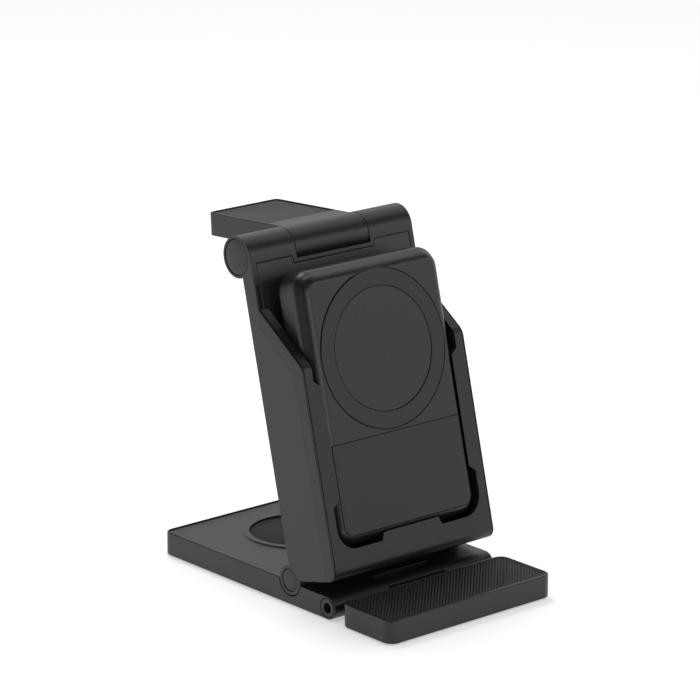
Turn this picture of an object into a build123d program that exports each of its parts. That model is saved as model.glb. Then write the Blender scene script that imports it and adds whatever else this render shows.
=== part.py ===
from build123d import *
import os
from math import atan2, cos, degrees, radians, sin, tan

# Folding three in one wireless charger with a slide-in power bank.
# A flat base charges an earbud case, an upright hinged on the base holds a power bank that a phone
# clings to, a wing hinged on top of the upright charges a watch, and a shelf hinged on the nose of
# the base steadies the stand. +Z is up, the front faces -Y, and the origin lies on the desk in the
# middle of the footprint. All sizes are in millimetres.

os.makedirs("parts", exist_ok=True)

# Clearances
fold_gap = 0.35  # between bodies that swing past each other
side_gap = 0.3  # at the ends of hinge knuckles
fit_gap = 0.15  # between an inset piece and its recess
running_gap = 0.05  # around a shaft that turns
seam_edge = 0.2  # chamfer around an inset piece

# Power bank
bank_width = 65.4
bank_length = 96.9
bank_low = 9.6  # hinge axis to lower end, up the slope
bank_corner = 7.5
bank_slope_side = 3.0  # the sloping front edge, seen from the front
bank_slope_depth = 4.35  # the same, seen from the side
bank_front_edge = 3.6
bank_shoulder_edge = 3.0
bank_back_edge = 1.0
bank_wall = 1.6
bank_ledge = 1.4
bank_front_wall = 1.8
bank_cover_thick = 1.4
bank_slack = 0.25  # between the rear coil and the rear cover
ring_outer = 28.0
ring_inner = 22.0
ring_thick = 0.5
ring_stand = 0.2  # the ring stands this far in front of the case
ring_gap = 0.3  # around the outside of the ring
ring_drop = 31.7  # upper end of the power bank to middle of the ring
panel_side_margin = 3.45
panel_low_margin = 4.05
panel_ring_gap = 1.15
panel_thick = 0.8
panel_gap = 0.25  # around the lower panel
cell_width = 54.0
cell_low_margin = 18.4
cell_high_margin = 4.9
cell_thick = 6.0
cell_corner = 2.0
bank_board_width = 52.0
bank_board_length = 14.0
bank_board_margin = 3.4  # lower end of the power bank to its board
bank_post_height = 3.65
bank_post_radius = 2.2
bank_post_side = 5.0  # side of the board to middle of the post
bank_coil_inner = 9.0
bank_coil_outer = 20.0
rear_coil_thick = 0.8
magnet_gap = 1.2  # coil to the magnets around it
magnet_width = 5.6
magnet_thick = 1.6

# Pocket for the power bank, with the lips and the tab that keep it in
pocket_side_gap = 0.4
pocket_floor_gap = 0.3
pocket_floor_thick = 1.2
liner_wall = 2.0
rim_stand = 0.1  # the rim stands this far in front of the power bank
lip_reach = 2.7
lip_low_rise = 17.5  # pocket floor to lower end of a lip
lip_high_drop = 7.65  # shoulder of the fin to upper end of a lip
lip_slant = 2.2
tab_half_width = 12.7
tab_spread = 1.2
tab_rise = 2.9
tab_round = 0.8

# Socket at the rear edge of the base, and the same one in the power bank
socket_width = 8.9
socket_height = 3.2
socket_depth = 7.3
socket_skin = 0.35
socket_tongue_width = 6.6
socket_tongue_thick = 0.8
socket_tongue_back = 1.0
socket_set = 0.5
socket_headroom = 0.5

# Charging parts that several pieces share
board_thick = 1.2
coil_thick = 1.4
ferrite_thick = 0.6

# Base
base_floor = 1.5
base_back = 71.8  # hinge axis to rear end
base_corner = 3.5
base_edge = 0.4
base_rim_rise = 0.45  # the shell's rim stands this far above the lid
base_rim_round = 0.6
base_wall = 1.8
nose_reach = 20.05  # hinge axis to front hinge axis
hinge_above_base = 0.74
lid_thick = 1.8
lid_inset = 0.7
lid_front_wall = 0.4
cavity_ledge = 1.4
earbud_spot = 40.6  # hinge axis to middle of the earbud disc
earbud_radius = 17.3
earbud_pad_thick = 0.8
rim_ring_width = 2.4
rim_ring_height = 0.5
rim_ring_chamfer = 0.3
base_board_width = 44.0
base_board_length = 46.0
base_coil_inner = 7.0
base_coil_outer = 16.5
ferrite_margin = 1.0
sole_stand = 0.4  # the rubber sole stands this far out of the base
sole_thick = 1.0
sole_corner = 6.0
sole_side_gap = 8.3
sole_front_gap = 4.5  # notch to sole
sole_rear_gap = 7.9

# Screws
screw_boss_radius = 3.0
screw_boss_height = 2.0
screw_head_radius = 1.9
screw_head_thick = 1.1
screw_shank_radius = 0.95
screw_sink = 0.3
screw_bite = 2.2
base_screw_side = 6.3  # side of the base to the screws
base_screw_front_gap = 6.35
base_screw_rear_gap = 7.4
arm_screw_side = 6.9  # side of the inset plate to the screws
arm_screw_low_gap = 9.9
arm_screw_high_drop = 16.74

# Base hinge
boss_radius = 5.5
boss_length = 7.0
boss_rim = 1.4
boss_cap_thick = 1.0
knuckle_radius = 5.0
hinge_shaft_radius = 1.9

# Front hinge and shelf
tongue_shift = 1.3  # the tongue sits a little right of the middle
tongue_height = 5.6
notch_width = 26.0
notch_back = 5.8  # front hinge axis to rear wall of the notch
bush_skin = 0.45
bush_length = 9.0
bush_play = 0.1
front_pin_radius = 1.7
front_pin_sink = 3.0
shelf_gap = 3.4  # nose of the base to the shelf
shelf_depth = 26.4
shelf_thick = 8.5
shelf_overhang = 0.6  # on each side, past the width of the base
shelf_corner = 4.0
shelf_edge = 0.5
shelf_border = 1.0
shelf_wall = 1.8
shelf_deck = 1.6
shelf_cover_thick = 1.4
pad_thick = 1.2
pad_below_rim = 0.2
rib_pitch = 1.43  # along the shelf
rib_angle = 49.0  # to the length of the shelf
rib_groove = 0.5
rib_depth = 0.4
rib_margin = 0.8
shelf_foot_side = 9.3
shelf_foot_width = 8.0
shelf_foot_corner = 3.0
shelf_foot_thick = 1.0

# Upright: distances run up its slope from the hinge axis and forward of that axis
lean = 13.8  # degrees from the vertical
arm_bottom = -0.4
arm_back = 0.7
arm_wall = 1.6
plate_front = 6.8
plate_thick = 1.6
plate_margin = 2.25  # side of the upright to the inset plate
plate_ledge = 1.5
bezel_depth = 4.6
fin_drop = 18.8  # top hinge axis to upper end of the fins
fin_angle = 41.7  # degrees between the fin's slope and the upright
shoulder_round = 5.0
foot_round = 3.6
rim_round = 0.3
rim_width = 0.5  # side of the upright to the groove along the rim
groove_width = 0.35
groove_depth = 0.45
shell_edge = 0.25
chamber_wall = 1.8
hollow_top_drop = 9.6  # top hinge axis to the upright's hollow
arm_board_width = 40.0
arm_board_length = 22.0
arm_board_rise = 12.9  # inset plate's lower end to the board

# Dock on the upright
dock_height = 5.9
dock_gap = 0.3
dock_round = 0.8
dock_skin = 1.2
dock_wall = 1.6
dock_magnet_gap = 0.6
dock_board_radius = 20.0

# Top hinge
barrel_above_bank = 7.7  # upper end of the power bank to the top hinge axis
barrel_radius = 7.5
barrel_rim = 1.05
barrel_cap_thick = 1.2
wing_knuckle_width = 33.4
wing_knuckle_gap = 0.9
plate_top_drop = 2.8  # top hinge axis to upper edge of the inset plate
plate_step_drop = 5.4  # the same where the plate steps down below the wing's knuckle
plate_step_side = 1.6
plate_step_round = 1.0
wing_shaft_radius = 2.2

# Wing
wing_fold_gap = 0.3  # between the folded wing and the back of the upright
wing_droop = 3.5  # degrees below the level at rest
wing_width = 31.9
wing_tip_gap = 0.2  # between the tip of the folded wing and the rear of the folded base
wing_above_axis = 7.4
wing_corner = 2.0
wing_edge = 0.4
wing_wall = 1.4
wing_lid_thick = 1.4
wing_lid_drop = 0.4  # the lid lies this far below the wing's rim
wing_lid_start = 1.2  # knuckle to lid
dish_radius = 11.5
dish_depth = 0.5
dish_end = 13.7  # end of the wing to middle of the dish
watch_coil_inner = 4.5
watch_coil_outer = 10.5
watch_coil_thick = 1.2
watch_magnet_radius = 3.6
watch_magnet_thick = 1.8
watch_board_width = 22.0
watch_board_length = 24.0
watch_board_thick = 0.8

# Base: heights, widths and reaches worked out from the sizes above
body_width = bank_width + 2 * (pocket_side_gap + liner_wall + plate_margin)
half_width = body_width / 2
base_thick = base_floor + board_thick + socket_height + socket_headroom + lid_thick
base_bottom = sole_stand
base_top = base_bottom + base_thick
lid_bottom = base_top - lid_thick
cavity_bottom = base_bottom + base_floor
inlet_z = cavity_bottom + board_thick + socket_height / 2
hinge_z = base_top + hinge_above_base
nose_radius = base_thick / 2
nose_z = base_bottom + nose_radius
bush_radius = nose_radius - bush_skin
bush_hole_radius = front_pin_radius + bush_play
shelf_back = nose_reach + nose_radius + shelf_gap
shelf_front = shelf_back + shelf_depth
shelf_middle = (shelf_back + shelf_front) / 2
shelf_width = body_width + 2 * shelf_overhang
shelf_foot_length = shelf_width - 2 * shelf_foot_side
hinge_y = (shelf_front - base_back) / 2
boss_cap_radius = boss_radius - boss_rim
knuckle_half = half_width - boss_length - side_gap
lid_front = boss_radius + fold_gap + lid_front_wall
rim_ring_radius = earbud_radius + rim_ring_width
sole_width = body_width - 2 * sole_side_gap
sole_front = notch_back - nose_reach + sole_front_gap
sole_length = base_back - sole_rear_gap - sole_front
base_screw_x = half_width - base_screw_side
base_screw_front = lid_front + cavity_ledge + base_screw_front_gap
base_screw_back = base_back - base_screw_rear_gap
base_screw_middle = (base_screw_front + base_screw_back) / 2

# Upright and power bank: places worked out in the same way
plate_half = half_width - plate_margin
plate_back = plate_front - plate_thick
dock_front = plate_front + dock_height
bank_back = dock_front + dock_gap
bank_stack = coil_thick + ferrite_thick + cell_thick + rear_coil_thick
bank_thick = bank_front_wall + bank_stack + bank_slack + bank_cover_thick
bank_front = bank_back + bank_thick
bank_inside = bank_front - bank_front_wall
bank_shoulder = bank_front - bank_slope_depth
bank_slope = degrees(atan2(bank_slope_side, bank_slope_depth))
bank_high = bank_low + bank_length
ring_spot = bank_high - ring_drop
panel_low = bank_low + panel_low_margin
panel_high = ring_spot - ring_outer - panel_ring_gap
cell_low = bank_low + cell_low_margin
cell_high = bank_high - cell_high_margin
cell_front = bank_inside - coil_thick - ferrite_thick
bank_board_low = bank_low + bank_board_margin
bank_board_depth = bank_inside - bank_post_height
bank_post_x = bank_board_width / 2 - bank_post_side
magnet_inner = bank_coil_outer + magnet_gap
magnet_outer = magnet_inner + magnet_width
dock_radius = magnet_outer + dock_magnet_gap + dock_wall
pocket_half = bank_width / 2 + pocket_side_gap
pocket_floor = bank_low - pocket_floor_gap
rim_front = bank_front + rim_stand
liner_low = pocket_floor - pocket_floor_thick
chamber_back = boss_radius + fold_gap + chamber_wall
top_axis_up = bank_high + barrel_above_bank
top_axis_depth = plate_front - barrel_radius
fin_top = top_axis_up - fin_drop
arm_screw_x = plate_half - arm_screw_side
arm_screw_low = liner_low + arm_screw_low_gap
arm_screw_high = top_axis_up - arm_screw_high_drop
arm_screw_middle = (arm_screw_low + arm_screw_high) / 2
barrel_cap_radius = barrel_radius - barrel_rim
wing_below_axis = arm_back - top_axis_depth - wing_fold_gap
wing_lid_bottom = wing_above_axis - wing_lid_drop - wing_lid_thick
wing_knuckle_half = wing_knuckle_width / 2
knuckle_room_half = wing_knuckle_half + side_gap
wing_length = top_axis_up - base_back - wing_tip_gap
dish_spot = wing_length - dish_end

# Planes: side planes look along X, level planes lie flat on the piece they belong to
lean_sin = sin(radians(lean))
lean_cos = cos(radians(lean))
droop_sin = sin(radians(wing_droop))
droop_cos = cos(radians(wing_droop))
up_slope = Vector(0, lean_sin, lean_cos)
forward = Vector(0, -lean_cos, lean_sin)
hinge_axis = Vector(0, hinge_y, hinge_z)
top_axis = hinge_axis + up_slope * top_axis_up + forward * top_axis_depth
wing_out = Vector(0, droop_cos, -droop_sin)
wing_up = Vector(0, droop_sin, droop_cos)
base_side = Plane(origin=(0, hinge_y, 0), x_dir=(0, 1, 0), z_dir=(1, 0, 0))
arm_side = Plane(origin=hinge_axis, x_dir=up_slope, z_dir=(1, 0, 0))
wing_side = Plane(origin=top_axis, x_dir=wing_out, z_dir=(1, 0, 0))


def base_level(height):
    """Level plane of the base at a height above the desk, with Y counted from the hinge axis."""
    return Plane(origin=(0, hinge_y, height), x_dir=(1, 0, 0), z_dir=(0, 0, 1))


def base_under(height):
    """The same plane seen from below, with Y counted forward from the hinge axis."""
    return Plane(origin=(0, hinge_y, height), x_dir=(1, 0, 0), z_dir=(0, 0, -1))


def arm_level(depth):
    """Plane parallel to the upright's front, with Y counted up its slope from the hinge axis."""
    return Plane(origin=hinge_axis + forward * depth, x_dir=(1, 0, 0), z_dir=forward)


def wing_level(height):
    """Plane parallel to the wing's top, with Y counted outwards from the top hinge axis."""
    return Plane(origin=top_axis + wing_up * height, x_dir=(1, 0, 0), z_dir=wing_up)


def fin_ends(inset):
    """Lower and upper end of the fin's sloping edge, moved into the upright by an inset."""
    upper = fin_top - inset / sin(radians(fin_angle))
    lower = upper - (rim_front - inset - plate_front) / tan(radians(fin_angle))
    return lower, upper


def finish(piece, name):
    """Labels a finished piece and writes it to its own file."""
    piece.part.label = name
    export_step(piece.part, f"parts/{name}.step")


fin_low, fin_high = fin_ends(0)
seam_low, seam_high = fin_ends(bezel_depth)
liner_bend, liner_high = fin_ends(bezel_depth / 2)
seam_front = rim_front - bezel_depth
liner_front = rim_front - bezel_depth / 2
lip_half_width = pocket_half - lip_reach
lip_low = pocket_floor + lip_low_rise
lip_high = fin_low - lip_high_drop
tab_high = pocket_floor + tab_rise

# Outlines that two pieces share
with BuildSketch() as lid_outline:
    with Locations((0, lid_front)):
        Rectangle(
            body_width - 2 * lid_inset,
            base_back - lid_inset - lid_front,
            align=(Align.CENTER, Align.MIN),
        )
    fillet(lid_outline.vertices().group_by(Axis.Y)[-1], base_corner - lid_inset)

with BuildSketch() as plate_outline:
    with Locations((0, liner_low)):
        Rectangle(
            2 * plate_half,
            top_axis_up - plate_top_drop - liner_low,
            align=(Align.CENTER, Align.MIN),
        )
    with Locations((0, top_axis_up - plate_step_drop)):
        Rectangle(
            2 * (knuckle_room_half + plate_step_side),
            plate_step_drop,
            align=(Align.CENTER, Align.MIN),
            mode=Mode.SUBTRACT,
        )
    step_corners = plate_outline.vertices().group_by(Axis.Y)[-1]
    fillet(step_corners.filter_by(lambda corner: abs(corner.X) < plate_half - fit_gap), plate_step_round)

with BuildSketch() as bank_outline:
    with Locations((0, bank_low)):
        Rectangle(bank_width, bank_high - bank_low, align=(Align.CENTER, Align.MIN))
    fillet(bank_outline.vertices(), bank_corner)

with BuildSketch() as pocket_outline:
    with Locations((0, pocket_floor)):
        Rectangle(2 * pocket_half, top_axis_up, align=(Align.CENTER, Align.MIN))
    fillet(pocket_outline.vertices().group_by(Axis.Y)[0], bank_corner + pocket_side_gap)

with BuildSketch() as panel_outline:
    with Locations((0, panel_low)):
        Rectangle(
            bank_width - 2 * panel_side_margin,
            panel_high - panel_low,
            align=(Align.CENTER, Align.MIN),
        )
    fillet(panel_outline.vertices().group_by(Axis.Y)[0], bank_corner - panel_low_margin)

with BuildSketch() as wing_lid_outline:
    with Locations((0, barrel_radius + wing_lid_start)):
        Rectangle(
            wing_width - 2 * lid_inset,
            wing_length - lid_inset - barrel_radius - wing_lid_start,
            align=(Align.CENTER, Align.MIN),
        )
    fillet(wing_lid_outline.vertices().group_by(Axis.Y)[-1], wing_corner - lid_inset)

with BuildSketch() as shelf_outline:
    with Locations((0, -shelf_front)):
        Rectangle(shelf_width, shelf_depth, align=(Align.CENTER, Align.MIN))
    fillet(shelf_outline.vertices(), shelf_corner)

with BuildSketch() as bezel_outline:
    with BuildLine():
        Polyline(
            (arm_bottom, seam_front),
            (arm_bottom, rim_front),
            (fin_low, rim_front),
            (fin_high, plate_front),
            (seam_high, plate_front),
            (seam_low, seam_front),
            close=True,
        )
    make_face()
    fillet(bezel_outline.vertices().sort_by_distance((arm_bottom, rim_front))[0], foot_round)
    fillet(bezel_outline.vertices().sort_by_distance((fin_low, rim_front))[0], shoulder_round)

# Base: a tray with a full-round nose, a knuckle for the upright and a notch for the shelf's tongue
with BuildPart() as base_shell:
    with BuildSketch(base_side):
        with Locations((base_back, base_bottom)):
            Rectangle(base_back + nose_reach, base_thick, align=(Align.MAX, Align.MIN))
        with Locations((-nose_reach, nose_z)):
            Circle(nose_radius)
    extrude(amount=half_width, both=True)
    fillet(base_shell.faces().sort_by(Axis.Y)[-1].edges().filter_by(Axis.Z), base_corner)
    outer_edges = base_shell.edges().filter_by(
        lambda edge: edge.geom_type == GeomType.CIRCLE and abs(edge.radius - nose_radius) < fit_gap
    )
    for flat in base_shell.faces().filter_by(Axis.Z):
        outer_edges += flat.edges().sort_by(Axis.Y)[1:]
    fillet(outer_edges, base_edge)
    with BuildSketch(base_level(base_top - base_edge)) as rim_slab:
        Rectangle(body_width, base_back, align=(Align.CENTER, Align.MIN))
        fillet(rim_slab.vertices().group_by(Axis.Y)[-1], base_corner)
    extrude(amount=base_edge + base_rim_rise)
    fillet(base_shell.faces().sort_by(Axis.Z)[-1].edges().sort_by(Axis.Y)[1:], base_rim_round)
    with BuildSketch(base_level(base_top)) as rim_hollow:
        Rectangle(body_width - 2 * lid_inset, base_back - lid_inset, align=(Align.CENTER, Align.MIN))
        fillet(rim_hollow.vertices().group_by(Axis.Y)[-1], base_corner - lid_inset)
    extrude(amount=base_rim_rise, mode=Mode.SUBTRACT)
    with BuildSketch(base_side):
        with Locations((0, hinge_z)):
            Circle(knuckle_radius)
    extrude(amount=knuckle_half, both=True)
    for side in (-1, 1):
        with BuildSketch(base_side.offset(side * knuckle_half)):
            with Locations((0, hinge_z)):
                Circle(boss_radius + fold_gap)
        extrude(amount=side * (boss_length + 2 * side_gap), mode=Mode.SUBTRACT)
        with BuildSketch(base_side.offset(side * half_width)):
            with Locations((-nose_reach, nose_z)):
                Circle(bush_radius + running_gap)
        extrude(amount=-side * bush_length, mode=Mode.SUBTRACT)
    with BuildSketch(base_side):
        with Locations((0, hinge_z)):
            Circle(hinge_shaft_radius + running_gap)
        with Locations((-nose_reach, nose_z)):
            Circle(front_pin_radius + running_gap)
    extrude(amount=half_width, both=True, mode=Mode.SUBTRACT)
    with BuildSketch(base_level(base_bottom)):
        with Locations((tongue_shift, notch_back - nose_reach)):
            Rectangle(notch_width, notch_back + 2 * nose_radius, align=(Align.CENTER, Align.MAX))
    extrude(amount=base_thick, mode=Mode.SUBTRACT)
    with BuildSketch(base_level(lid_bottom)):
        add(lid_outline.sketch)
    extrude(amount=lid_thick, mode=Mode.SUBTRACT)
    with BuildSketch(base_level(cavity_bottom)):
        with Locations((0, lid_front + cavity_ledge)):
            Rectangle(
                body_width - 2 * base_wall,
                base_back - base_wall - lid_front - cavity_ledge,
                align=(Align.CENTER, Align.MIN),
            )
        with Locations((0, base_screw_middle)):
            with GridLocations(2 * base_screw_x, base_screw_back - base_screw_front, 2, 2):
                Circle(screw_boss_radius, mode=Mode.SUBTRACT)
    extrude(amount=lid_bottom - cavity_bottom, mode=Mode.SUBTRACT)
    with BuildSketch(base_level(cavity_bottom + screw_boss_height)):
        with Locations((0, base_screw_middle)):
            with GridLocations(2 * base_screw_x, base_screw_back - base_screw_front, 2, 2):
                Circle(screw_boss_radius)
    extrude(amount=lid_bottom - cavity_bottom - screw_boss_height, mode=Mode.SUBTRACT)
    with BuildSketch(base_level(base_bottom)):
        with Locations((0, sole_front + sole_length / 2)):
            RectangleRounded(sole_width + 2 * fit_gap, sole_length + 2 * fit_gap, sole_corner)
    extrude(amount=sole_thick - sole_stand, mode=Mode.SUBTRACT)
    with Locations(base_under(base_bottom)):
        with Locations((0, -base_screw_middle)):
            with GridLocations(2 * base_screw_x, base_screw_back - base_screw_front, 2, 2):
                CounterBoreHole(
                    screw_shank_radius + fit_gap,
                    screw_head_radius + fit_gap,
                    screw_sink + screw_head_thick,
                )
    with BuildSketch(Plane(origin=(0, hinge_y + base_back, inlet_z), x_dir=(-1, 0, 0), z_dir=(0, 1, 0))):
        SlotOverall(socket_width + 2 * fit_gap, socket_height + 2 * fit_gap)
    extrude(amount=-2 * base_wall, mode=Mode.SUBTRACT)
finish(base_shell, "base_shell")

with BuildPart() as base_lid:
    with BuildSketch(base_level(lid_bottom)):
        add(lid_outline.sketch)
        offset(amount=-fit_gap)
    extrude(amount=lid_thick)
    chamfer(base_lid.faces().sort_by(Axis.Z)[-1].edges(), seam_edge)
    with BuildSketch(base_level(base_top)):
        with Locations((0, earbud_spot)):
            Circle(rim_ring_radius)
    extrude(amount=rim_ring_height)
    chamfer(base_lid.faces().sort_by(Axis.Z)[-1].edges(), rim_ring_chamfer)
    with BuildSketch(base_level(base_top - earbud_pad_thick)):
        with Locations((0, earbud_spot)):
            Circle(earbud_radius + fit_gap)
    extrude(amount=earbud_pad_thick + rim_ring_height, mode=Mode.SUBTRACT)
    with BuildSketch(base_level(cavity_bottom + screw_boss_height)):
        with Locations((0, base_screw_middle)):
            with GridLocations(2 * base_screw_x, base_screw_back - base_screw_front, 2, 2):
                Circle(screw_boss_radius - fit_gap)
    extrude(amount=lid_bottom - cavity_bottom - screw_boss_height)
    with BuildSketch(base_level(cavity_bottom + screw_boss_height)):
        with Locations((0, base_screw_middle)):
            with GridLocations(2 * base_screw_x, base_screw_back - base_screw_front, 2, 2):
                Circle(screw_shank_radius + running_gap)
    extrude(amount=screw_bite + fit_gap, mode=Mode.SUBTRACT)
finish(base_lid, "base_lid")

with BuildPart() as earbud_pad:
    with BuildSketch(base_level(base_top - earbud_pad_thick)):
        with Locations((0, earbud_spot)):
            Circle(earbud_radius)
    extrude(amount=earbud_pad_thick)
    chamfer(earbud_pad.faces().sort_by(Axis.Z)[-1].edges(), seam_edge)
finish(earbud_pad, "earbud_pad")

with BuildPart() as base_coil:
    with BuildSketch(base_level(lid_bottom)):
        with Locations((0, earbud_spot)):
            Circle(base_coil_outer)
            Circle(base_coil_inner, mode=Mode.SUBTRACT)
    extrude(amount=-coil_thick)
finish(base_coil, "base_coil")

with BuildPart() as base_ferrite:
    with BuildSketch(base_level(lid_bottom - coil_thick)):
        with Locations((0, earbud_spot)):
            Circle(base_coil_outer + ferrite_margin)
    extrude(amount=-ferrite_thick)
finish(base_ferrite, "base_ferrite")

with BuildPart() as base_board:
    with BuildSketch(base_level(cavity_bottom)):
        with Locations((0, base_back - base_wall - fit_gap)):
            Rectangle(base_board_width, base_board_length, align=(Align.CENTER, Align.MAX))
    extrude(amount=board_thick)
finish(base_board, "base_board")

with BuildPart() as base_socket:
    mouth = Plane(
        origin=(0, hinge_y + base_back - socket_set, inlet_z),
        x_dir=(-1, 0, 0),
        z_dir=(0, 1, 0),
    )
    with BuildSketch(mouth):
        SlotOverall(socket_width, socket_height)
    extrude(amount=-socket_depth)
    with BuildSketch(mouth):
        SlotOverall(socket_width - 2 * socket_skin, socket_height - 2 * socket_skin)
        Rectangle(socket_tongue_width, socket_tongue_thick, mode=Mode.SUBTRACT)
    extrude(amount=socket_tongue_back - socket_depth, mode=Mode.SUBTRACT)
finish(base_socket, "base_socket")

with BuildPart() as base_sole:
    with BuildSketch(base_level(0)):
        with Locations((0, sole_front + sole_length / 2)):
            RectangleRounded(sole_width, sole_length, sole_corner)
    extrude(amount=sole_thick)
finish(base_sole, "base_sole")

with BuildPart() as base_screws:
    with BuildSketch(base_level(base_bottom + screw_sink)):
        with Locations((0, base_screw_middle)):
            with GridLocations(2 * base_screw_x, base_screw_back - base_screw_front, 2, 2):
                Circle(screw_head_radius)
    extrude(amount=screw_head_thick)
    with BuildSketch(base_level(base_bottom + screw_sink + screw_head_thick)):
        with Locations((0, base_screw_middle)):
            with GridLocations(2 * base_screw_x, base_screw_back - base_screw_front, 2, 2):
                Circle(screw_shank_radius)
    extrude(amount=base_floor + screw_boss_height + screw_bite - screw_sink - screw_head_thick)
finish(base_screws, "base_screws")

with BuildPart() as hinge_shaft:
    with BuildSketch(base_side):
        with Locations((0, hinge_z)):
            Circle(hinge_shaft_radius)
    extrude(amount=half_width - boss_cap_thick - side_gap, both=True)
finish(hinge_shaft, "hinge_shaft")

with BuildPart() as front_bushes:
    for side in (-1, 1):
        with BuildSketch(base_side.offset(side * half_width)):
            with Locations((-nose_reach, nose_z)):
                Circle(bush_radius)
                Circle(bush_hole_radius, mode=Mode.SUBTRACT)
        extrude(amount=-side * bush_length)
    for end in (0, -1):
        chamfer(front_bushes.faces().sort_by(Axis.X)[end].edges(), seam_edge)
finish(front_bushes, "front_bushes")

with BuildPart() as front_pin:
    with BuildSketch(base_side):
        with Locations((-nose_reach, nose_z)):
            Circle(front_pin_radius)
    extrude(amount=half_width - front_pin_sink, both=True)
finish(front_pin, "front_pin")

# Upright
with BuildPart() as arm_rear_shell:
    with BuildSketch(arm_side):
        with BuildLine():
            Polyline(
                (arm_bottom, arm_back),
                (arm_bottom, seam_front),
                (seam_low, seam_front),
                (seam_high, plate_front),
                (top_axis_up, plate_front),
                (top_axis_up, arm_back),
                close=True,
            )
        make_face()
        with Locations((top_axis_up, top_axis_depth)):
            Circle(barrel_radius)
        Circle(boss_radius)
    extrude(amount=half_width, both=True)
    fillet(arm_rear_shell.faces().filter_by(Axis.X).edges(), shell_edge)
    with BuildSketch(arm_side):
        Circle(boss_radius + fold_gap)
    extrude(amount=knuckle_half + side_gap, both=True, mode=Mode.SUBTRACT)
    with BuildSketch(arm_side):
        with Locations((top_axis_up, top_axis_depth)):
            Circle(barrel_radius + wing_knuckle_gap)
    extrude(amount=knuckle_room_half, both=True, mode=Mode.SUBTRACT)
    with BuildSketch(arm_level(plate_back)):
        add(plate_outline.sketch)
        offset(amount=fit_gap, kind=Kind.INTERSECTION)
    extrude(amount=rim_front, mode=Mode.SUBTRACT)
    with BuildSketch(arm_level(chamber_back)):
        with Locations((0, arm_bottom + arm_wall)):
            Rectangle(2 * plate_half, liner_low - arm_bottom - arm_wall, align=(Align.CENTER, Align.MIN))
    extrude(amount=rim_front, mode=Mode.SUBTRACT)
    with BuildSketch(arm_level(arm_back + arm_wall)):
        with Locations((0, liner_low + plate_ledge)):
            Rectangle(
                2 * (plate_half - plate_ledge),
                top_axis_up - hollow_top_drop - liner_low - plate_ledge,
                align=(Align.CENTER, Align.MIN),
            )
        with Locations((0, arm_screw_middle)):
            with GridLocations(2 * arm_screw_x, arm_screw_high - arm_screw_low, 2, 2):
                Circle(screw_boss_radius, mode=Mode.SUBTRACT)
    extrude(amount=plate_back - arm_back - arm_wall, mode=Mode.SUBTRACT)
    with BuildSketch(arm_level(plate_back)):
        with Locations((0, arm_screw_middle)):
            with GridLocations(2 * arm_screw_x, arm_screw_high - arm_screw_low, 2, 2):
                Circle(screw_shank_radius + running_gap)
    extrude(amount=-(screw_bite + fit_gap), mode=Mode.SUBTRACT)
    with BuildSketch(arm_side):
        Circle(hinge_shaft_radius + running_gap)
        with Locations((top_axis_up, top_axis_depth)):
            Circle(wing_shaft_radius + running_gap)
    extrude(amount=half_width, both=True, mode=Mode.SUBTRACT)
    for side in (-1, 1):
        with BuildSketch(arm_side.offset(side * half_width)):
            with Locations((top_axis_up, top_axis_depth)):
                Circle(barrel_cap_radius + running_gap)
        extrude(amount=-side * barrel_cap_thick, mode=Mode.SUBTRACT)
        with BuildSketch(arm_side.offset(side * half_width)):
            Circle(boss_cap_radius + running_gap)
        extrude(amount=-side * boss_cap_thick, mode=Mode.SUBTRACT)
finish(arm_rear_shell, "arm_rear_shell")

with BuildPart() as arm_front_plate:
    with BuildSketch(arm_level(plate_back)):
        add(plate_outline.sketch)
    extrude(amount=plate_thick)
    chamfer(arm_front_plate.faces().sort_by(Axis(hinge_axis, forward))[-1].edges(), seam_edge)
    with Locations(arm_level(plate_front)):
        with Locations((0, arm_screw_middle)):
            with GridLocations(2 * arm_screw_x, arm_screw_high - arm_screw_low, 2, 2):
                CounterBoreHole(
                    screw_shank_radius + fit_gap,
                    screw_head_radius + fit_gap,
                    screw_head_thick,
                )
finish(arm_front_plate, "arm_front_plate")

with BuildPart() as arm_screws:
    with BuildSketch(arm_level(plate_front)):
        with Locations((0, arm_screw_middle)):
            with GridLocations(2 * arm_screw_x, arm_screw_high - arm_screw_low, 2, 2):
                Circle(screw_head_radius)
    extrude(amount=-screw_head_thick)
    with BuildSketch(arm_level(plate_front - screw_head_thick)):
        with Locations((0, arm_screw_middle)):
            with GridLocations(2 * arm_screw_x, arm_screw_high - arm_screw_low, 2, 2):
                Circle(screw_shank_radius)
    extrude(amount=-(plate_thick - screw_head_thick + screw_bite))
finish(arm_screws, "arm_screws")

# The space that the power bank slides into, following its sloping front edges
with BuildPart() as bank_pocket:
    with BuildSketch(arm_level(plate_back)):
        add(pocket_outline.sketch)
    extrude(amount=bank_shoulder - plate_back)
    with BuildSketch(arm_level(bank_shoulder)):
        add(pocket_outline.sketch)
    extrude(amount=rim_front - bank_shoulder, taper=bank_slope)

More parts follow.
